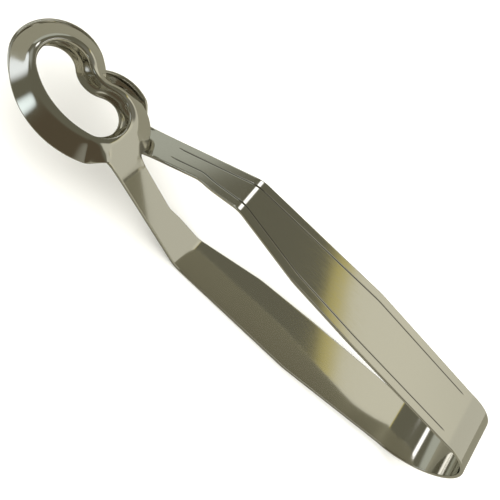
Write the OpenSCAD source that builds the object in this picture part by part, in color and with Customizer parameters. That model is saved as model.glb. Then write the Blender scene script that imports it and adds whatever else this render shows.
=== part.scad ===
// Spring tongs with two facing kidney-shaped cup rings.
// One bright strip is bent into a U. Its two arms run flat and parallel, turn
// inward at a crease, pass each other side by side and end in the cup rings,
// so that squeezing the handles opens the cups.
// X runs from the bow to the cups, Y across the strip, Z from handle to handle.
// The origin is on the resting face, under the widest place of the lower handle.

/* [Strip] */
// Thickness of the strip
strip_t = 1; // [0.8:0.1:1.4]
// Width of the strip round the bow
bow_w = 15.4; // [12:0.5:20]

/* [Bow] */
// Outer radius of the bow, half the distance across the handles
bow_r = 15; // [12:0.5:19]

/* [Handles] */
// Length from the bow to the widest place of a handle
bow_to_wide = 35; // [25:1:45]
// Length from the widest place to the crease
wide_to_crease = 40.5; // [30:0.5:50]
// Outer edge at the widest place, from the middle plane
wide_out = 10.4; // [9:0.1:13]
// Inner edge at the widest place, from the middle plane
wide_in = 5.8; // [5:0.1:8]
// Length from the widest place to the middle of the taper
taper_at = 20; // [15:1:25]
// Inner edge at the middle of the taper, from the middle plane
taper_in = 4.2; // [3:0.1:5]
// Outer edge at the crease
crease_out = 10; // [9:0.1:13]
// How far the inner edge still laps the middle plane at the crease
crease_in = 0.4; // [0:0.1:1]

/* [Necks] */
// Length from the crease to the foot of the cup
neck_len = 23.9; // [20:0.1:30]
// Radius of the bends at both ends of the neck
bend_r = 3; // [2:0.1:4]
// Outer edge where the neck meets the cup
neck_out = 9.5; // [8:0.1:11]
// Half of the gap between the two necks where they meet the cups
neck_gap = 1; // [0.5:0.1:1.5]
// Where the shoulder starts, from the crease
shoulder_at = 7.7; // [6:0.1:10]
// Length of the shoulder
shoulder_len = 3.8; // [2:0.1:5]
// Inner edge at the start of the shoulder, from the middle plane
shoulder_in = 1; // [0.8:0.1:1.5]
// Inner edge at the end of the shoulder, from the middle plane
neck_in = 2.1; // [1.6:0.1:2.8]

/* [Engraved lines] */
// Width of a line
line_w = 0.5; // [0.3:0.1:0.8]
// Depth of a line
line_depth = 0.2; // [0.1:0.05:0.3]
// Distance of a line from the edge of the strip
line_inset = 2.2; // [1.6:0.1:3]
// Bare length between the bow and the lines
line_start = 2; // [1:0.5:10]

/* [Cups] */
// Gap between the two rims when the tongs are closed
rim_gap = 0.3; // [0.2:0.1:1]
// Depth of a cup from the rim to the edge of its opening
cup_depth = 4.6; // [3:0.1:5.5]
// Extra steepness at the rim
cup_dome = 0.35; // [0:0.05:0.6]

/* [Upper cup] */
// Length between the centres of the foot lobe and the tip lobe
upper_span = 17.1; // [14:0.1:22]
// Radius of the foot lobe's rim
upper_foot_r = 11.1; // [10:0.1:14]
// Radius of the tip lobe's rim
upper_tip_r = 11.1; // [10:0.1:14]
// Side place of the foot lobe
upper_foot_y = 1; // [-1:0.1:2]
// Side place of the tip lobe
upper_tip_y = -1.8; // [-5:0.1:0]
// How far the kidney's middle line bends sideways
upper_bend = 3.7; // [1.5:0.1:5]

/* [Lower cup] */
// How far the foot lobe lies beyond the upper one
lower_ahead = 2.1; // [0:0.1:3]
// Length between the centres of the foot lobe and the tip lobe
lower_span = 16.3; // [14:0.1:22]
// Radius of the foot lobe's rim
lower_foot_r = 11.1; // [10:0.1:14]
// Radius of the tip lobe's rim
lower_tip_r = 11.3; // [10:0.1:14]
// Side place of the foot lobe
lower_foot_y = -2.3; // [-4:0.1:1]
// Side place of the tip lobe
lower_tip_y = -3.2; // [-5:0.1:0]
// How far the kidney's middle line bends sideways
lower_bend = 3.8; // [1.5:0.1:5]

/* [Opening in the upper cup] */
// Radius at the foot
upper_hole_foot_r = 6.4; // [4.5:0.1:7]
// Radius at the tip
upper_hole_tip_r = 6.2; // [4.5:0.1:7]
// How far the middle line bends sideways
upper_hole_bend = 1.7; // [1:0.1:3.5]
// How much the middle line is shorter than the rim's at each end
upper_hole_back = 1.6; // [0:0.1:3]
// Side shift at the foot
upper_hole_foot_shift = 0.5; // [-1:0.1:2]
// Side shift at the tip
upper_hole_tip_shift = 1.2; // [-1:0.1:2]

/* [Opening in the lower cup] */
// Radius at the foot
lower_hole_foot_r = 5.4; // [4.5:0.1:7]
// Radius at the tip
lower_hole_tip_r = 5.8; // [4.5:0.1:7]
// How far the middle line bends sideways
lower_hole_bend = 2.9; // [1:0.1:3.5]
// How far it lies ahead of the rim's middle line
lower_hole_ahead = 1.1; // [0:0.1:2]
// Side shift at the foot
lower_hole_foot_shift = 0.4; // [-1:0.1:2]

/* [Hidden] */
// Height of the plane between the two rims
mid_z = bow_r;
bow_x = -bow_to_wide;
crease_x = wide_to_crease;
foot_x = crease_x + neck_len;
// Middle of the flat foot of the rising neck, level with the upper cup's rim
foot_z = mid_z + rim_gap / 2 + strip_t / 2;
neck_angle = atan((foot_z - strip_t / 2) / neck_len);
bend_run = bend_r * tan(neck_angle / 2);
bend_steps = 8;
// The foot lobes start beyond the place where the necks cross
foot_margin = 1.5;
upper_foot = [foot_x + foot_margin + upper_foot_r, upper_foot_y];
upper_tip = [upper_foot[0] + upper_span, upper_tip_y];
lower_foot = [upper_foot[0] + lower_ahead, lower_foot_y];
lower_tip = [lower_foot[0] + lower_span, lower_tip_y];
far = 400;
steel = [0.78, 0.77, 0.74];

// Points along the middle of the rising neck: [x, z, slope angle]
neck_path = concat(
    [[crease_x - bend_run, strip_t / 2, 0]],
    [for (i = [1 : bend_steps]) let (a = neck_angle * i / bend_steps)
        [crease_x - bend_run + bend_r * sin(a), strip_t / 2 + bend_r * (1 - cos(a)), a]],
    [for (i = [0 : bend_steps]) let (a = neck_angle * (1 - i / bend_steps))
        [foot_x + bend_run - bend_r * sin(a), foot_z - bend_r * (1 - cos(a)), a]],
    [[upper_tip[0], foot_z, 0]]);

// Closed outline of the band between two offsets from a path
function band(path, low, high) = concat(
    [for (p = path) [p[0] - low * sin(p[2]), p[1] + low * cos(p[2])]],
    [for (i = [len(path) - 1 : -1 : 0]) let (p = path[i])
        [p[0] - high * sin(p[2]), p[1] + high * cos(p[2])]]);

// Edges of the rising arm seen from above, from the bow to the cup
handle_outer = [[bow_x, bow_w / 2], [0, wide_out], [crease_x, crease_out]];
handle_inner = [[bow_x, -bow_w / 2], [0, -wide_in], [taper_at, -taper_in],
                [crease_x, -crease_in]];
neck_outer = [[crease_x, crease_out], [upper_foot[0], neck_out]];
neck_inner = [[crease_x, -crease_in], [crease_x + shoulder_at, shoulder_in],
              [crease_x + shoulder_at + shoulder_len, neck_in],
              [upper_foot[0], neck_gap]];

function flip(points) = [for (i = [len(points) - 1 : -1 : 0]) points[i]];
function shift_y(points, d) = [for (p = points) [p[0], p[1] + d]];
function cut_start(points, x) =
    let (a = points[0], b = points[1], s = (x - a[0]) / (b[0] - a[0]))
    concat([a + (b - a) * s], [for (i = [1 : len(points) - 1]) points[i]]);

// A kidney's outline: a middle line bent into an arc from foot to tip, and
// everything within a distance of it that goes from foot_r to tip_r.
// Outlines have equal numbers of points, so two of them can carry a wall.
function kidney(foot, tip, bend, foot_r, tip_r) =
    let (chord = tip - foot,
         span = norm(chord),
         up = atan2(chord[1], chord[0]) + 90,
         r = (span * span / 4 + bend * bend) / (2 * bend),
         half = asin(span / 2 / r),
         centre = (foot + tip) / 2 - (r - bend) * [cos(up), sin(up)],
         arc_n = 12,
         cap_n = 18)
    concat(
        [for (i = [0 : arc_n - 1])
            let (s = i / arc_n, a = up + half - 2 * half * s, reach = foot_r + (tip_r - foot_r) * s)
            centre + (r + reach) * [cos(a), sin(a)]],
        [for (i = [0 : cap_n - 1]) let (a = up - half - 180 * i / cap_n)
            tip + tip_r * [cos(a), sin(a)]],
        [for (i = [0 : arc_n - 1])
            let (s = i / arc_n, a = up - half + 2 * half * s, reach = tip_r + (foot_r - tip_r) * s)
            centre + (r - reach) * [cos(a), sin(a)]],
        [for (i = [0 : cap_n - 1]) let (a = up + half + 180 - 180 * i / cap_n)
            foot + foot_r * [cos(a), sin(a)]]);

upper_rim = kidney(upper_foot, upper_tip, upper_bend, upper_foot_r, upper_tip_r);
upper_hole = kidney(upper_foot + [upper_hole_back, upper_hole_foot_shift],
                    upper_tip + [-upper_hole_back, upper_hole_tip_shift],
                    upper_hole_bend, upper_hole_foot_r, upper_hole_tip_r);
lower_rim = kidney(lower_foot, lower_tip, lower_bend, lower_foot_r, lower_tip_r);
lower_hole = kidney(lower_foot + [lower_hole_ahead, lower_hole_foot_shift],
                    lower_tip + [lower_hole_ahead, 0],
                    lower_hole_bend, lower_hole_foot_r, lower_hole_tip_r);

// A dished ring above z = 0: the rim's lower edge is at rim_gap / 2
module cup_ring(rim, hole) {
    rise_n = 5;
    limb = rim[0][1] - hole[0][1];
    wall = strip_t / cos(atan(cup_depth / limb));
    section = concat(
        [for (j = [0 : rise_n]) [j / rise_n, wall]],
        [for (j = [rise_n : -1 : 0]) [j / rise_n, 0]]);
    m = len(section);
    n = len(rim);
    points = [for (i = [0 : n - 1]) for (q = section)
        let (v = q[0], p = rim[i] + (hole[i] - rim[i]) * v)
        [p[0], p[1], rim_gap / 2 + cup_depth * v * (1 + cup_dome * (1 - v)) + q[1]]];
    faces = [for (i = [0 : n - 1]) for (j = [0 : m - 1])
        let (k = (i + 1) % n, l = (j + 1) % m)
        [i * m + j, k * m + j, k * m + l, i * m + l]];
    polyhedron(points, faces, convexity = 6);
}

// The engraved lines of one arm seen from above, one strip beside each edge
module line_plan(outer, inner) {
    polygon(concat(shift_y(outer, -line_inset), flip(shift_y(outer, -line_inset - line_w))));
    polygon(concat(shift_y(inner, line_inset), flip(shift_y(inner, line_inset + line_w))));
}

// The lower handle, which continues into the rising neck
module handle_plate() {
    start = bow_x + line_start;
    difference() {
        linear_extrude(height = strip_t)
            intersection() {
                polygon(concat(handle_outer, flip(handle_inner)));
                translate([bow_x, -far / 2]) square([crease_x - bend_run - bow_x, far]);
            }
        translate([0, 0, line_depth - strip_t])
            linear_extrude(height = strip_t)
                line_plan(cut_start(handle_outer, start), cut_start(handle_inner, start));
    }
}

module neck_band(low, high) {
    translate([0, far / 2, 0])
        rotate([90, 0, 0])
            linear_extrude(height = far)
                polygon(band(neck_path, low, high));
}

module neck_plan() {
    run = crease_x - bend_run;
    difference() {
        polygon(concat([[run, crease_out]], neck_outer,
                       flip(neck_inner), [[run, -crease_in]]));
        children();
    }
}

// The rising neck, cut to the outline of the cup ring that it carries
module neck_plate(rim) {
    difference() {
        intersection() {
            neck_band(-strip_t / 2, strip_t / 2);
            linear_extrude(height = far)
                neck_plan()
                    polygon(rim);
        }
        intersection() {
            neck_band(-strip_t, line_depth - strip_t / 2);
            linear_extrude(height = far) line_plan(neck_outer, neck_inner);
        }
    }
}

// Turns the lower arm half a turn about the long axis, onto the upper one
module upper_side() {
    translate([0, 0, mid_z])
        rotate([180, 0, 0])
            translate([0, 0, -mid_z])
                children();
}

module spring_bow() {
    color(steel)
        translate([bow_x, bow_w / 2, bow_r])
            rotate([90, 0, 0])
                linear_extrude(height = bow_w)
                    difference() {
                        circle(r = bow_r, $fn = 96);
                        circle(r = bow_r - strip_t, $fn = 96);
                        translate([0, -far / 2]) square(far);
                    }
}

module lower_handle() {
    color(steel) handle_plate();
}

module upper_handle() {
    color(steel) upper_side() handle_plate();
}

module rising_neck() {
    color(steel) neck_plate(upper_rim);
}

module falling_neck() {
    color(steel) upper_side() neck_plate([for (p = lower_rim) [p[0], -p[1]]]);
}

module upper_cup() {
    color(steel) translate([0, 0, mid_z]) cup_ring(upper_rim, upper_hole);
}

module lower_cup() {
    color(steel) translate([0, 0, mid_z]) mirror([0, 0, 1]) cup_ring(lower_rim, lower_hole);
}

spring_bow();
lower_handle();
upper_handle();
rising_neck();
falling_neck();
upper_cup();
lower_cup();
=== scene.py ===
"""Spring tongs with two facing kidney-shaped cup rings, in mirror-polished stainless steel.

One strip, bent into a U, makes the whole object. Each arm is drawn once in its own plan, as the
lower arm that rises to the upper cup ring. The upper arm is the same drawing after half a turn
about the long axis. Lengths are in millimetres until mesh_piece() turns them into metres.
"""
import math

import bpy
import numpy as np
from mathutils import Matrix, Vector

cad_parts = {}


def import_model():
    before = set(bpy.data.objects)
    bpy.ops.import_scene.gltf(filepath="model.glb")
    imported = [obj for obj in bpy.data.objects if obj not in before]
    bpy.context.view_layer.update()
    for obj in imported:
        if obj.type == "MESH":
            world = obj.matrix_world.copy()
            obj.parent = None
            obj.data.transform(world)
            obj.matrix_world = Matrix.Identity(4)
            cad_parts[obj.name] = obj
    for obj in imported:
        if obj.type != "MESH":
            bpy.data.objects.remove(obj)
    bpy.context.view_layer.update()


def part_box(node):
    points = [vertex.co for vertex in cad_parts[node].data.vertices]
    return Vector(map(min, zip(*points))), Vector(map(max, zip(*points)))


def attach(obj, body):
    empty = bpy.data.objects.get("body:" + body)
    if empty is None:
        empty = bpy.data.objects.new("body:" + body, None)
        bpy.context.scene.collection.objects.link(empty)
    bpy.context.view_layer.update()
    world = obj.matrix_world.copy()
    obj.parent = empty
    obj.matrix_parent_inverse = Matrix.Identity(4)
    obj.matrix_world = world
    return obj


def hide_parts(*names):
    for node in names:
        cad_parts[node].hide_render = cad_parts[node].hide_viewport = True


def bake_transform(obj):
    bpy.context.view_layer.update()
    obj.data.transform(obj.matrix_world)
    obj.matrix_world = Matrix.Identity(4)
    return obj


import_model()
MM = 0.001


def corners(node):
    """Lowest and highest corner of a CAD node, in millimetres."""
    low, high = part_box(node)
    return np.array(low) / MM, np.array(high) / MM


# Sizes that the frame gives
BOW_LOW, BOW_HIGH = corners("spring_bow")
HANDLE_LOW, HANDLE_HIGH = corners("lower_handle")
UPPER_CUP_LOW = corners("upper_cup")[0]
STRIP_T = HANDLE_HIGH[2] - HANDLE_LOW[2]
HALF_T = STRIP_T / 2
MID_Z = (BOW_LOW[2] + BOW_HIGH[2]) / 2
BOW_R = (BOW_HIGH[2] - BOW_LOW[2] - STRIP_T) / 2
BOW_X = BOW_HIGH[0]
BOW_HALF_W = BOW_HIGH[1]
WIDE_OUTER = HANDLE_HIGH[1]
RIM_Z = UPPER_CUP_LOW[2] + HALF_T

# Places along the rising arm: the widest one, the crease, the seam between neck and cup ring, and
# the middle of the ring's foot
WIDE_X = 0.0
CREASE_X = 40.5
SEAM_X = 62.0
FOOT_X = 77.0

# Edges of the rising arm in plan: the place along the arm, and the side place there. The inner
# edge has a shoulder just past the crease
OUTER_EDGE = [(BOW_X, BOW_HALF_W), (WIDE_X, WIDE_OUTER), (CREASE_X, 10.0), (SEAM_X, 9.4),
              (FOOT_X, 9.0)]
INNER_EDGE = [(BOW_X, -BOW_HALF_W), (WIDE_X, -5.8), (20.0, -4.2), (CREASE_X, -0.4), (48.2, 1.0),
              (52.0, 2.1), (FOOT_X, 1.0)]
CREASE_R = 6.0

# Easing of the edges' corners: reach on either side, samples, and how far the weight falls off
EDGE_SOFTNESS = 1.5
EASE_SAMPLES = 21
EASE_FALL = 0.95

# Engraved lines on the outer face of each arm
LINE_INSET = 2.2
LINE_W = 0.32
LINE_DEPTH = 0.08
LINE_START_X = BOW_X + 2.0
LINE_END_X = SEAM_X - 2.0
LINE_RAMP = 1.2

# Rounding of the strip's edges, and the narrow flat beside it
EDGE_R = 0.28
EDGE_STEPS = 4
EDGE_FLAT = 0.12

# Cup rings: height of the wall, width and slope of its lip, tightness of the bend to the lip
CUP_DEPTH = 4.6
LIP_W = 1.5
LIP_SLOPE = 0.25
LIP_BEND = 0.35

# Middle lines of the cups and their openings seen from above, as (foot, tip, sideways bend,
# radius at the foot, radius at the tip)
UPPER_RIM = ((FOOT_X, 1.0), (94.1, -1.8), 3.7, 11.1, 11.1)
UPPER_HOLE = ((78.6, 1.5), (92.5, -0.6), 1.7, 6.4, 6.2)
LOWER_RIM = ((79.1, -2.3), (95.4, -3.2), 3.8, 11.1, 11.3)
LOWER_HOLE = ((80.2, -1.9), (96.5, -3.2), 2.9, 5.4, 5.8)

# Waves round a kidney's outline that stay: shorter ones are damped, which eases its joins
OUTLINE_WAVES = 26

# Where the neck's plane reaches the height of the rims, short of the foot, and the run over which
# the neck's end rises to a rim that stands above it
FOOT_SHORT = 1.5
FOOT_EASE = 2.5

# The foot's sector, where the ring follows the neck's plane: how far its sides lie inside the
# seam's ends, the run over which each fades out, and the share of the fade done at the side
OUTER_MARGIN = 0.2
INNER_MARGIN = 0.4
OUTER_FADE = 6.0
INNER_FADE = 4.0
FADE_BEGUN = 0.12

# The window in the rim that the neck runs into: how far it may lie from the rim's start, and past
# the strip's edges. Then how far short of the window's ends the foot's sides turn into the rim
WINDOW_REACH = 8.0
WINDOW_PAST_INNER = 0.9
WINDOW_PAST_OUTER = 0.18
INNER_CORNER = 0.9
OUTER_CORNER = 0.5

# Numbers of mesh rows and points
BOW_ROWS = 181
HANDLE_ROWS = 190
BEND_ROWS = 16
NECK_ROWS = 48
FACE_POINTS = 7
FLANK_POINTS = 90
HOLLOW_POINTS = 60
CAP_POINTS = 110
RING_ROWS = 41
FOOT_ROWS = 16

# Faces that meet at more than this angle, in degrees, keep a sharp edge between them
SHARP_ANGLE = 50


# ---- Shape of the strip ----

def rounded_line(x, knots, reach):
    """A broken line through the knots whose corners are eased: each value is a weighted mean of
    the line within reach on either side, with weights that fall off evenly."""
    steps = np.linspace(-1, 1, EASE_SAMPLES)
    weights = 1 - np.abs(steps) * EASE_FALL
    places, values = np.array(knots, float).T
    x = np.asarray(x, float)
    spread = np.interp(x[..., None] + steps * reach, places, values)
    return spread @ weights / weights.sum()


def outer_edge(x):
    """Side place of the arm's outer edge at a place along it."""
    return rounded_line(x, OUTER_EDGE, EDGE_SOFTNESS)


def inner_edge(x):
    """Side place of the arm's inner edge at a place along it."""
    return rounded_line(x, INNER_EDGE, EDGE_SOFTNESS)


def outer_flat(x):
    """Where the strip's face ends and its rounded outer edge begins."""
    return outer_edge(x) - EDGE_R


def inner_flat(x):
    """Where the strip's face ends and its rounded inner edge begins."""
    return inner_edge(x) + EDGE_R


def smooth(t):
    """An eased step from 0 to 1: three times the square less twice the cube."""
    t = np.clip(t, 0, 1)
    return t * t * (3 - 2 * t)


def half_turn(points):
    """Half a turn about the long axis through the plane between the rims."""
    return points * [1, -1, -1] + [0, 0, 2 * MID_Z]


def grid_quads(ids):
    """Quads between neighbours of a grid of point numbers."""
    return np.stack([ids[:-1, :-1], ids[:-1, 1:], ids[1:, 1:], ids[1:, :-1]], -1).reshape(-1, 4)


def mesh_piece(name, points, quads, caps=(), turned=False, engraved=None):
    """A smooth-shaded mesh in metres with outward faces. The enclosed volume, the sum of the
    triple products of its triangles, says which way round the faces have to go."""
    if turned:
        points = half_turn(points)
    a, b, c, d = (points[quads[:, k]] for k in range(4))
    volume = np.einsum("ij,ij->", a, np.cross(b, c)) + np.einsum("ij,ij->", a, np.cross(c, d))
    faces = quads.tolist() + [list(cap) for cap in caps]
    if volume < 0:
        faces = [face[::-1] for face in faces]
    mesh = bpy.data.meshes.new(name)
    mesh.from_pydata((points * MM).tolist(), [], faces)
    mesh.validate()
    if engraved is not None:
        mesh.attributes.new("engraved", "FLOAT", "POINT").data.foreach_set("value", engraved)
    mesh.shade_smooth()
    mesh.set_sharp_from_angle(angle=math.radians(SHARP_ANGLE))
    piece = bpy.data.objects.new(name, mesh)
    bpy.context.scene.collection.objects.link(piece)
    return piece


def edge_profile():
    """The strip's rounded edge, from its outer face to its inner face: a quarter circle, a short
    flat and another quarter circle. Returns the reach beyond the face and the height."""
    turn = np.linspace(0, math.pi / 2, EDGE_STEPS + 1)
    reach = EDGE_R * np.sin(turn)
    height = HALF_T - EDGE_R + EDGE_R * np.cos(turn)
    return np.concatenate([reach, reach[::-1]]), np.concatenate([height, -height[::-1]])


def strip_section(outer, inner, depth):
    """Closed cross-sections of the strip, one for each place along it: [place, point, (across,
    outward)], and how deeply each point is engraved, from 0 to 1. The outer face carries two
    engraved lines, each a shallow trough. Each trough and each rounded edge has a narrow flat
    beside it, so that the face between them stays flat."""
    flat = np.ones((len(outer), 1))
    reach, height = edge_profile()
    trough = np.array([-0.9, -0.5, -0.2, 0.2, 0.5, 0.9]) * LINE_W
    sunk = np.array([0, 0, 1, 1, 0, 0]) * depth[:, None]
    line_a = (outer - LINE_INSET)[:, None] - trough
    line_b = (inner + LINE_INSET)[:, None] - trough
    share = np.linspace(0, 1, FACE_POINTS)
    middle = line_a[:, -1:] + (line_b[:, :1] - line_a[:, -1:]) * share[1:-1]
    rim_a = (outer - EDGE_R - EDGE_FLAT)[:, None]
    rim_b = (inner + EDGE_R + EDGE_FLAT)[:, None]
    edge_in = (inner + EDGE_R)[:, None] - reach
    edge_out = (outer - EDGE_R)[:, None] + reach[::-1]
    back = rim_b + (rim_a - rim_b) * share
    across = np.concatenate([rim_a, line_a, middle, line_b, rim_b, edge_in, back, edge_out], 1)
    cut = np.concatenate([0 * flat, sunk, 0 * middle, sunk, 0 * flat], 1)
    below = np.concatenate([flat * height, 0 * back - HALF_T, flat * height[::-1]], 1)
    outward = np.concatenate([HALF_T - cut, below], 1)
    engraved = np.concatenate([cut / LINE_DEPTH, 0 * below], 1)
    return np.stack([across, outward], 2), engraved


def strip_piece(name, path, outward, outer, inner, depth, turned):
    """A stretch of strip: its section carried along a path in the plane y = 0."""
    section, engraved = strip_section(outer, inner, depth)
    side = np.array([0, 1, 0])
    points = path[:, None] + section[..., :1] * side + section[..., 1:] * outward[:, None]
    rows, around = section.shape[:2]
    ids = np.arange(rows * around).reshape(rows, around)
    closed = np.concatenate([ids, ids[:, :1]], 1)
    caps = [ids[0, ::-1], ids[-1]]
    lines = engraved.ravel() if depth.any() else None
    return mesh_piece(name, points.reshape(-1, 3), grid_quads(closed), caps, turned, lines)


def line_depth(x):
    """Depth of the engraved lines, run out at both ends."""
    return LINE_DEPTH * smooth((x - LINE_START_X) / LINE_RAMP) * smooth((LINE_END_X - x) / LINE_RAMP)


# The rising neck: a bend at the crease, then straight up to the foot of the cup ring
NECK_SLOPE = (RIM_Z - HALF_T) / (UPPER_CUP_LOW[0] - FOOT_SHORT - CREASE_X)
NECK_ANGLE = math.atan(NECK_SLOPE)
BEND_RUN = CREASE_R * math.tan(NECK_ANGLE / 2)


def neck_height(x):
    """Middle of the straight neck above a place along the arm."""
    return HALF_T + (x - CREASE_X) * NECK_SLOPE


def spring_bow():
    """The bow: the strip carried round half a circle, from the lower arm to the upper one. It is
    as wide, at a distance along it from either arm, as that arm's edges drawn on would be."""
    turn = np.linspace(-math.pi / 2, -3 * math.pi / 2, BOW_ROWS)
    none = 0 * turn
    ray = np.stack([np.cos(turn), none, np.sin(turn)], 1)
    path = [BOW_X, 0, MID_Z] + BOW_R * ray
    travel = BOW_R * np.minimum(turn + 3 * math.pi / 2, -math.pi / 2 - turn)
    wide, narrow = outer_edge(BOW_X - travel), inner_edge(BOW_X - travel)
    lower = turn > -math.pi
    outer = np.where(lower, wide, -narrow)
    inner = np.where(lower, narrow, -wide)
    return strip_piece("spring_bow_strip", path, ray, outer, inner, none, False)


def handle(name, turned):
    """A flat handle: the strip carried straight from the bow to the crease."""
    x = np.linspace(BOW_X, CREASE_X - BEND_RUN, HANDLE_ROWS)
    path = np.stack([x, 0 * x, 0 * x + HALF_T], 1)
    outward = np.tile([0.0, 0.0, -1.0], (len(x), 1))
    return strip_piece(name, path, outward, outer_edge(x), inner_edge(x), line_depth(x), turned)


def neck(name, turned):
    """The bend at the crease, an arc of CREASE_R, and the straight neck up to the seam."""
    angle = np.linspace(0, NECK_ANGLE, BEND_ROWS)
    bend_x = CREASE_X - BEND_RUN + CREASE_R * np.sin(angle)
    bend_z = HALF_T + CREASE_R * (1 - np.cos(angle))
    run_x = np.linspace(bend_x[-1], SEAM_X, NECK_ROWS)[1:]
    x = np.concatenate([bend_x, run_x])
    z = np.concatenate([bend_z, neck_height(run_x)])
    lean = np.concatenate([angle, np.full(len(run_x), NECK_ANGLE)])
    path = np.stack([x, 0 * x, z], 1)
    outward = np.stack([np.sin(lean), 0 * x, -np.cos(lean)], 1)
    return strip_piece(name, path, outward, outer_edge(x), inner_edge(x), line_depth(x), turned)


# ---- Shape of the cup rings ----

def ray(angle):
    """Unit directions in plan at an angle from +X."""
    return np.stack([np.cos(angle), np.sin(angle)], -1)


def kidney(shape, grown):
    """A kidney's outline: a middle line bent into an arc from foot to tip, and everything within
    a reach of it that goes from foot_r to tip_r. It is drawn as flank, tip cap, hollow flank and
    foot cap with fixed numbers of points, so two outlines can carry a wall between them."""
    foot, tip, bend, foot_r, tip_r = shape
    foot, tip = np.array(foot, float), np.array(tip, float)
    foot_r, tip_r = foot_r + grown, tip_r + grown
    chord = tip - foot
    span = np.hypot(*chord)
    up = math.atan2(chord[1], chord[0]) + math.pi / 2
    r = (span ** 2 / 4 + bend ** 2) / (2 * bend)
    half = math.asin(span / 2 / r)
    centre = (foot + tip) / 2 - (r - bend) * ray(up)
    flank = np.arange(FLANK_POINTS)[:, None] / FLANK_POINTS
    hollow = np.arange(HOLLOW_POINTS)[:, None] / HOLLOW_POINTS
    cap = np.arange(CAP_POINTS) / CAP_POINTS
    sides = [
        centre + (r + foot_r + (tip_r - foot_r) * flank) * ray(up + half - 2 * half * flank[:, 0]),
        tip + tip_r * ray(up - half - math.pi * cap),
        centre + (r - tip_r - (foot_r - tip_r) * hollow) * ray(up - half + 2 * half * hollow[:, 0]),
        foot + foot_r * ray(up + half + math.pi - math.pi * cap)]
    return soften(np.concatenate(sides))


def soften(loop):
    """Eases the joins between arcs: the loop's waves are damped, the shorter the more."""
    n = len(loop)
    waves = np.fft.fft(loop[:, 0] + 1j * loop[:, 1])
    order = np.abs(np.fft.fftfreq(n) * n)
    eased = np.fft.ifft(waves * np.exp(-(order / OUTLINE_WAVES) ** 2))
    return np.stack([eased.real, eased.imag], 1)


def wall_height(run, width):
    """Height of the cup wall at a distance in from the rim, for a wall of a given width: an even
    slope up to the lip, then a tight bend to the flatter lip."""
    def climb(d):
        over = (d - (width - LIP_W)) / LIP_BEND
        return d - (1 - LIP_SLOPE) * LIP_BEND * np.logaddexp(0, over)
    return CUP_DEPTH * (climb(run) - climb(0 * run)) / (climb(width) - climb(0 * width))


def foot_share(plan, centre, reach):
    """How much of the neck's plane is carried into the ring: all of it in the sector of the foot
    that the neck meets, none beyond. Past each side of the sector the share eases to none over a
    fixed length of arc round the foot's middle."""
    x, y = plan[..., 0], plan[..., 1]
    turn = np.arctan2(y - centre[1], centre[0] - x)
    far = np.hypot(x - centre[0], y - centre[1])
    outer = math.asin((outer_edge(SEAM_X) - OUTER_MARGIN - centre[1]) / reach)
    inner = math.asin((inner_edge(SEAM_X) + INNER_MARGIN - centre[1]) / reach)
    past_outer = (turn - outer) * far / OUTER_FADE + FADE_BEGUN
    past_inner = (inner - turn) * far / INNER_FADE + FADE_BEGUN
    return (1 - smooth(past_outer)) * (1 - smooth(past_inner))


def ring_height(plan, u, width, centre, reach):
    """Middle of the cup ring's sheet: the wall, carried over into the neck's plane where the neck
    joins the foot. That share fades with the square of u, the way in from the rim."""
    wall = RIM_Z + wall_height(u * width, width)
    plane = neck_height(plan[..., 0])
    return wall + foot_share(plan, centre, reach) * (1 - u ** 2) * (plane - wall)


def foot_window(rim):
    """Numbers of the rim points that the neck runs into, in order across the neck, and the way
    they go round the rim, 1 or -1."""
    x, y = rim.T
    near = x < x.min() + WINDOW_REACH
    beside_inner = y > inner_edge(x) - WINDOW_PAST_INNER
    beside_outer = y < outer_edge(x) + WINDOW_PAST_OUTER
    window = np.flatnonzero(near & beside_inner & beside_outer)
    window = window[np.argsort(y[window])]
    return window, int(np.sign(window[1] - window[0]))


def foot_plan(top):
    """The foot seen from above, in rows from the seam to the window in the rim. Each side is a
    curve with three poles: the seam's end, a corner on the strip's edge and the window's end. In
    between, the sides' bows are blended across the straight lines from seam to window."""
    share = (top[:, 1] - top[0, 1]) / (top[-1, 1] - top[0, 1])
    low, high = inner_flat(SEAM_X), outer_flat(SEAM_X)
    seam = np.stack([np.full(len(top), SEAM_X), low + (high - low) * share], 1)
    t = np.linspace(0, 1, FOOT_ROWS)[:, None]
    bows = []
    for end, edge, short in ((0, inner_flat, INNER_CORNER), (-1, outer_flat, OUTER_CORNER)):
        start, stop = seam[end], top[end]
        corner_x = stop[0] - short
        corner = np.array([corner_x, edge(corner_x)])
        curve = (1 - t) ** 2 * start + 2 * t * (1 - t) * corner + t ** 2 * stop
        bows.append(curve - ((1 - t) * start + t * stop))
    straight = (1 - t)[..., None] * seam + t[..., None] * top
    return (straight + (1 - share)[None, :, None] * bows[0][:, None]
            + share[None, :, None] * bows[1][:, None])


def face_areas(points, quads):
    """Twice the area vector of each quad: the cross product of its diagonals."""
    a, b, c, d = (points[quads[:, k]] for k in range(4))
    return np.cross(c - a, d - b)


def unit(v):
    """Vectors brought to length 1."""
    return v / np.linalg.norm(v, axis=-1, keepdims=True)


def vertex_normals(points, quads):
    """Sum of the area vectors of the quads round each point, made a unit vector."""
    area = face_areas(points, quads)
    total = np.zeros_like(points)
    for k in range(4):
        np.add.at(total, quads[:, k], area)
    return unit(total)


def facing_up(points, quads):
    """Quads turned round, if need be, so that on the whole they face up."""
    return quads if face_areas(points, quads)[:, 2].sum() >= 0 else quads[:, ::-1]


def facing(quads, points, centre, way):
    """Quads turned round, if need be, so that on the whole they face away from a place (way 1) or
    towards it (way -1)."""
    middle = (points[quads[:, 0]] + points[quads[:, 2]]) / 2
    flow = np.einsum("ij,ij->", face_areas(points, quads), middle - centre)
    return quads if flow * way > 0 else quads[:, ::-1]


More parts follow.
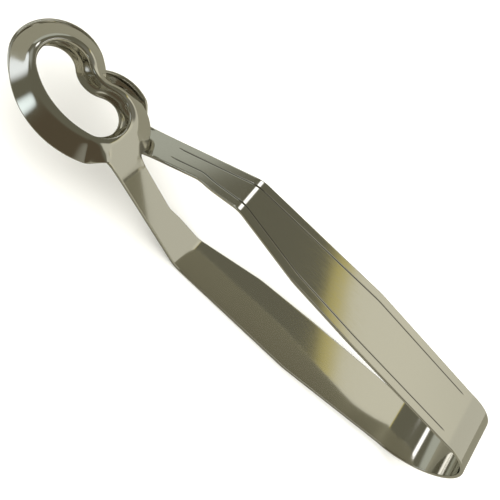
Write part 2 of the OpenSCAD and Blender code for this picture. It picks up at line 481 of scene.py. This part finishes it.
def side_ways(points, normals, loop, away_from):
    """Unit vectors in the sheet, square to the loop, that point away from a place."""
    along = points[np.roll(loop, -1)] - points[np.roll(loop, 1)]
    way = unit(np.cross(along, normals[loop]))
    mid = len(loop) // 2
    if way[mid] @ (points[loop[mid]] - away_from) < 0:
        way = -way
    return way


def edge_strip(points, normals, loop, side_way, first, twin):
    """A rounded edge along a loop of sheet points. side_way is the outward direction at each, with
    no length where the sheet ends in a flat seam. Returns new points, numbered from first, and the
    quads that join the upper sheet, numbered from 0, to the lower one, numbered from twin."""
    reach, height = edge_profile()
    inner = slice(1, -1)
    ring = (points[loop][:, None] + reach[inner][None, :, None] * side_way[:, None]
            + height[inner][None, :, None] * normals[loop][:, None])
    n, m = ring.shape[:2]
    ids = np.concatenate([loop[:, None], first + np.arange(n * m).reshape(n, m),
                          loop[:, None] + twin], 1)
    ids = np.concatenate([ids, ids[:1]])
    return ring.reshape(-1, 3), grid_quads(ids)


def thick_sheet(points, quads, normals, edges, centre):
    """A sheet given its thickness: its upper face, its lower face and a rounded edge along each
    loop. An edge is (loop, side ways, 1 if it faces away from the centre or -1 if towards it)."""
    count = len(points)
    parts = [points + normals * HALF_T, points - normals * HALF_T]
    strips = []
    first = 2 * count
    for loop, side_way, way in edges:
        edge_points, edge_quads = edge_strip(points, normals, loop, side_way, first, count)
        parts.append(edge_points)
        strips.append((edge_quads, way))
        first += len(edge_points)
    everything = np.concatenate(parts)
    faces = [quads, quads[:, ::-1] + count]
    faces += [facing(strip, everything, centre, way) for strip, way in strips]
    return everything, np.concatenate(faces)


def cup_ring(name, shape, opening, turned):
    """A dished ring with the foot that joins it to the neck. Rows run from the rim to the
    opening. The foot is a patch between a window in the rim and a straight seam across the neck,
    at the neck's height, and rises near the rim by as much as the rim stands above it."""
    flip = [1, -1] if turned else [1, 1]
    rim, hole = kidney(shape, -EDGE_R) * flip, kidney(opening, EDGE_R) * flip
    foot_centre, foot_reach = np.array(shape[0]) * flip, shape[3]
    n = len(rim)
    u = np.linspace(0, 1, RING_ROWS)
    ring = rim[:, None] + (hole - rim)[:, None] * u[None, :, None]
    width = np.linalg.norm(rim - hole, axis=1)
    ring_z = ring_height(ring, u[None, :], width[:, None], foot_centre, foot_reach)
    ring_ids = np.arange(n * RING_ROWS).reshape(n, RING_ROWS)

    window, step = foot_window(rim)
    top = rim[window]
    below = foot_plan(top)[:-1]
    lifted = ring_z[window, 0] - neck_height(top[:, 0])
    away = np.linalg.norm(below - foot_centre, axis=-1) - foot_reach + EDGE_R
    below_z = neck_height(below[..., 0]) + lifted * (1 - smooth(away / FOOT_EASE))
    below_ids = ring_ids.size + np.arange(below_z.size).reshape(below_z.shape)
    foot_ids = np.concatenate([below_ids, ring_ids[window, 0][None]])

    plan = np.concatenate([ring.reshape(-1, 2), below.reshape(-1, 2)])
    z = np.concatenate([ring_z.ravel(), below_z.ravel()])
    points = np.concatenate([plan, z[:, None]], 1)
    around = grid_quads(np.concatenate([ring_ids, ring_ids[:1]]))
    quads = np.concatenate([facing_up(points, around), facing_up(points, grid_quads(foot_ids))])
    normals = vertex_normals(points, quads)
    centre = points[ring_ids[:, -1]].mean(0)

    rest = (window[-1] + step * np.arange(n - len(window) + 2)) % n
    loop = np.concatenate([ring_ids[rest, 0], foot_ids[::-1, 0][1:], foot_ids[0, 1:],
                           foot_ids[1:-1, -1]])
    way = side_ways(points, normals, loop, centre)
    way[np.isin(loop, foot_ids[0, 1:-1])] = 0
    way[loop == foot_ids[0, 0]] = [0, -1, 0]
    way[loop == foot_ids[0, -1]] = [0, 1, 0]
    hole_loop = ring_ids[:, -1]
    hole_way = -side_ways(points, normals, hole_loop, centre)
    edges = [(loop, way, 1), (hole_loop, hole_way, -1)]
    everything, faces = thick_sheet(points, quads, normals, edges, centre)
    return mesh_piece(name, everything, faces, (), turned)


# ---- Materials ----

# Tones of the steel and of the bottom of its engraved lines
STEEL_TONE = "#DCDAD2"
LINE_TONE = "#5A574E"

# Roughness of the steel at its brightest and haziest, and how much more its lines have
MIRROR_ROUGHNESS = 0.06
HAZY_ROUGHNESS = 0.11
LINE_DULLNESS = 0.25

# Length of the buffing streaks, how much longer than wide they are, and length of the waves
STREAK_LENGTH = 2.38
STREAK_STRETCH = 12.0
WAVE_LENGTH = 22.2

# Numbers of the colour sockets of a Mix node, whose names its other sockets share
MIX_SHARE, MIX_FROM, MIX_TO, MIX_RESULT = 0, 6, 7, 2


def colour(text):
    """An sRGB hex colour as linear RGBA."""
    channels = [int(text[k:k + 2], 16) / 255 for k in (1, 3, 5)]
    linear = [c / 12.92 if c <= 0.04045 else ((c + 0.055) / 1.055) ** 2.4 for c in channels]
    return (*linear, 1.0)


def add(tree, kind, links=None, values=None, **settings):
    """Adds a node. Settings are the node's own properties. Links and values go to inputs, by name
    or by number: the output that feeds it, or the value that it keeps."""
    node = tree.nodes.new(kind)
    for key, setting in settings.items():
        setattr(node, key, setting)
    for key, value in (values or {}).items():
        node.inputs[key].default_value = value
    for key, output in (links or {}).items():
        tree.links.new(output, node.inputs[key])
    return node


def polished_stainless(name, lined):
    """Mirror-polished stainless steel, rolled strip that was buffed lengthwise. The eye sees sharp
    reflections, a faint lengthwise haze and the slight waves that pressing leaves. The buffing
    streaks are drawn about 0.2 mm wide, coarser than real ones, so that they show as haze. On a
    lined piece the engraved lines are darker and duller than the face."""
    material = bpy.data.materials.new(name)
    material.use_nodes = True
    tree = material.node_tree
    shader = tree.nodes["Principled BSDF"]
    shader.inputs["Base Color"].default_value = colour(STEEL_TONE)
    shader.inputs["Metallic"].default_value = 1.0
    place = add(tree, "ShaderNodeTexCoord").outputs["Object"]
    stretched = add(tree, "ShaderNodeMapping", {"Vector": place},
                    {"Scale": (1.0, STREAK_STRETCH, STREAK_STRETCH)})
    buffed = add(tree, "ShaderNodeTexNoise", {"Vector": stretched.outputs["Vector"]},
                 {"Scale": 1 / (STREAK_LENGTH * MM), "Detail": 4.0, "Roughness": 0.6})
    haze = add(tree, "ShaderNodeMapRange", {"Value": buffed.outputs["Fac"]},
               {"From Min": 0.3, "From Max": 0.7, "To Min": MIRROR_ROUGHNESS,
                "To Max": HAZY_ROUGHNESS})
    roughness = haze.outputs["Result"]
    if lined:
        cut = add(tree, "ShaderNodeAttribute", attribute_name="engraved").outputs["Fac"]
        tone = add(tree, "ShaderNodeMix", {MIX_SHARE: cut},
                   {MIX_FROM: colour(STEEL_TONE), MIX_TO: colour(LINE_TONE)}, data_type="RGBA")
        tree.links.new(tone.outputs[MIX_RESULT], shader.inputs["Base Color"])
        dulled = add(tree, "ShaderNodeMath", {0: cut, 2: roughness}, {1: LINE_DULLNESS},
                     operation="MULTIPLY_ADD")
        roughness = dulled.outputs[0]
    tree.links.new(roughness, shader.inputs["Roughness"])
    waves = add(tree, "ShaderNodeTexNoise", {"Vector": place},
                {"Scale": 1 / (WAVE_LENGTH * MM), "Detail": 1.0})
    bump = add(tree, "ShaderNodeBump", {"Height": waves.outputs["Fac"]},
               {"Strength": 0.08, "Distance": 1 * MM})
    tree.links.new(bump.outputs["Normal"], shader.inputs["Normal"])
    return material


PLAIN_STEEL = polished_stainless("mirror_polished_stainless", False)
LINED_STEEL = polished_stainless("mirror_polished_stainless_with_lines", True)


# ---- The tongs ----

def finish_piece(piece, steel, node, body=None):
    """Gives a piece its material, hides the CAD node that it stands for and hangs it on the body
    that it rides on, unless it bends between two."""
    piece.data.materials.append(steel)
    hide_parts(node)
    if body:
        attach(piece, body)
    return piece


def cup(name, rim, hole, turned, node, body):
    """A cup ring with its finish."""
    return finish_piece(cup_ring(name, rim, hole, turned), PLAIN_STEEL, node, body)


finish_piece(spring_bow(), PLAIN_STEEL, "spring_bow", "bow")
lower_handle = finish_piece(handle("lower_handle_strip", False), LINED_STEEL, "lower_handle")
upper_handle = finish_piece(handle("upper_handle_strip", True), LINED_STEEL, "upper_handle")
finish_piece(neck("rising_neck_strip", False), LINED_STEEL, "rising_neck", "lower_arm")
finish_piece(neck("falling_neck_strip", True), LINED_STEEL, "falling_neck", "upper_arm")
cup("upper_cup_ring", UPPER_RIM, UPPER_HOLE, False, "upper_cup", "lower_arm")
cup("lower_cup_ring", LOWER_RIM, LOWER_HOLE, True, "lower_cup", "upper_arm")

for piece, arm, z in ((lower_handle, "lower_arm", 0), (upper_handle, "upper_arm", 2 * MID_Z)):
    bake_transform(piece)


# ---- Floor, light and camera ----

FLOOR_RADIUS = 3000
FLOOR_DROP = 0.2
PAPER = "#F4F3EF"
# The second paper colour is painted shade: the floor takes it only for rays mirrored off the steel
PAPER_WITH_PAINTED_SHADE_IN_STEEL = "#777567"

# The room round the tongs, painted in this order over dim far walls. Each patch is round, with the
# azimuth and elevation of its middle, its radius and its soft edge in degrees, its colour and its
# strength. Azimuth goes from +X, past the cups, toward +Y, the side that the camera is on
FAR_WALLS = "#6C6A5B"
ROOM = [
    (90, 22, 30, 12, "#5A5141", 1.0),       # shaded wall on the camera's side
    (-150, -5, 66.8, 0.5, "#C6BA72", 1.0),  # yellow border of the large pale wall past the bow
    (-150, -5, 65.1, 0.7, "#DEDBC9", 1.0),  # its light inner border
    (-150, -5, 54, 7, "#CBC9BA", 1.0),      # the pale wall
    (-92, 33, 18, 4, "#7A786D", 1.0),       # grey panel opposite the camera
    (168, 60, 20, 6, "#CFCDBF", 1.0),       # pale panel high past the bow
    (-40, 2, 23, 1.5, "#B8BBB0", 1.0),      # cool grey panel, low to the side of the cups
    (-52, 49, 5, 4, "#FFFFFF", 2.0),        # two small bright windows above that panel
    (-26, 34, 3, 2, "#FFFFFF", 2.0),
    (2, 30, 12, 6, "#A2A49C", 1.0),         # grey panel past the cups
    (14, 5, 11, 5, "#F4FAFF", 1.2),         # white panel low past the cups
    (50, 9, 5, 4, "#E2EEF2", 1.6),          # small bluish window beside it
    (122, 12, 9, 5, "#8E8C80", 1.0),        # grey panel on the camera's side of the bow
]


def floor():
    """A pale round sweep that the tongs lie on. For rays mirrored off the steel it takes a darker
    colour, a painted shade in the steel's reflection of the floor.
    """
    bpy.ops.mesh.primitive_circle_add(vertices=96, radius=FLOOR_RADIUS * MM, fill_type="NGON",
                                      location=(0, 0, -FLOOR_DROP * MM))
    disc = bpy.context.object
    disc.name = "floor"
    material = bpy.data.materials.new("matt_white_paper_with_painted_shade_in_steel")
    material.use_nodes = True
    tree = material.node_tree
    shader = tree.nodes["Principled BSDF"]
    shader.inputs["Roughness"].default_value = 0.9
    # Painted shade: the paper turns darker only for rays mirrored off the steel, so the steel shows
    # a dimmer floor
    mirrored = add(tree, "ShaderNodeLightPath").outputs["Is Glossy Ray"]
    tone = add(tree, "ShaderNodeMix", {MIX_SHARE: mirrored},
               {MIX_FROM: colour(PAPER), MIX_TO: colour(PAPER_WITH_PAINTED_SHADE_IN_STEEL)}, data_type="RGBA")
    tree.links.new(tone.outputs[MIX_RESULT], shader.inputs["Base Color"])
    disc.data.materials.append(material)


def lamp():
    """A very broad soft lamp overhead, which lights the floor and isn't mirrored in the steel."""
    data = bpy.data.lights.new("overhead", "SUN")
    data.energy = 4.6
    data.angle = math.radians(120)
    holder = bpy.data.objects.new("overhead", data)
    holder.visible_glossy = False
    bpy.context.scene.collection.objects.link(holder)


def camera():
    """Looks steeply down from the +Y side, turned so that the cups are at the upper left."""
    eye = Vector((56.75, 74.2, 167.22)) * MM
    ahead = Vector((-0.1547, -0.440, -0.8846))
    above = Vector((0.6784, -0.6982, 0.2286))
    data = bpy.data.cameras.new("camera")
    data.lens = 48.9
    data.sensor_width = 36.0
    data.clip_start = 0.01
    holder = bpy.data.objects.new("camera", data)
    bpy.context.scene.collection.objects.link(holder)
    back = -ahead.normalized()
    right = above.cross(back).normalized()
    up = back.cross(right)
    turned = Matrix((right, up, back)).transposed().to_4x4()
    holder.matrix_world = Matrix.Translation(eye) @ turned
    bpy.context.scene.camera = holder


def toward(azimuth, elevation):
    """Unit direction from two angles in degrees, the first turned from +X toward +Y."""
    a, e = math.radians(azimuth), math.radians(elevation)
    return (math.cos(e) * math.cos(a), math.cos(e) * math.sin(a), math.sin(e))


def world():
    """Soft studio light from the room. A direction lies in a patch by its dot product with the
    patch's middle, which eases from the cosine of radius plus soft to that of radius less soft."""
    studio = bpy.data.worlds.new("studio")
    studio.use_nodes = True
    tree = studio.node_tree
    way = add(tree, "ShaderNodeTexCoord").outputs["Generated"]
    painted = None
    for azimuth, elevation, radius, soft, text, strength in ROOM:
        near = add(tree, "ShaderNodeVectorMath", {0: way}, {1: toward(azimuth, elevation)},
                   operation="DOT_PRODUCT")
        edge_out = math.cos(math.radians(radius + soft))
        edge_in = math.cos(math.radians(max(radius - soft, 0)))
        share = add(tree, "ShaderNodeMapRange", {"Value": near.outputs["Value"]},
                    {"From Min": edge_out, "From Max": edge_in}, interpolation_type="SMOOTHSTEP")
        tint = [strength * channel for channel in colour(text)[:3]] + [1.0]
        mixed = add(tree, "ShaderNodeMix", {MIX_SHARE: share.outputs["Result"]},
                    {MIX_FROM: colour(FAR_WALLS), MIX_TO: tint}, data_type="RGBA")
        if painted is not None:
            tree.links.new(painted, mixed.inputs[MIX_FROM])
        painted = mixed.outputs[MIX_RESULT]
    tree.links.new(painted, tree.nodes["Background"].inputs["Color"])
    tree.nodes["Background"].inputs["Strength"].default_value = 1.0
    bpy.context.scene.world = studio
    bpy.context.scene.view_settings.view_transform = "Standard"


floor()
lamp()
camera()
world()
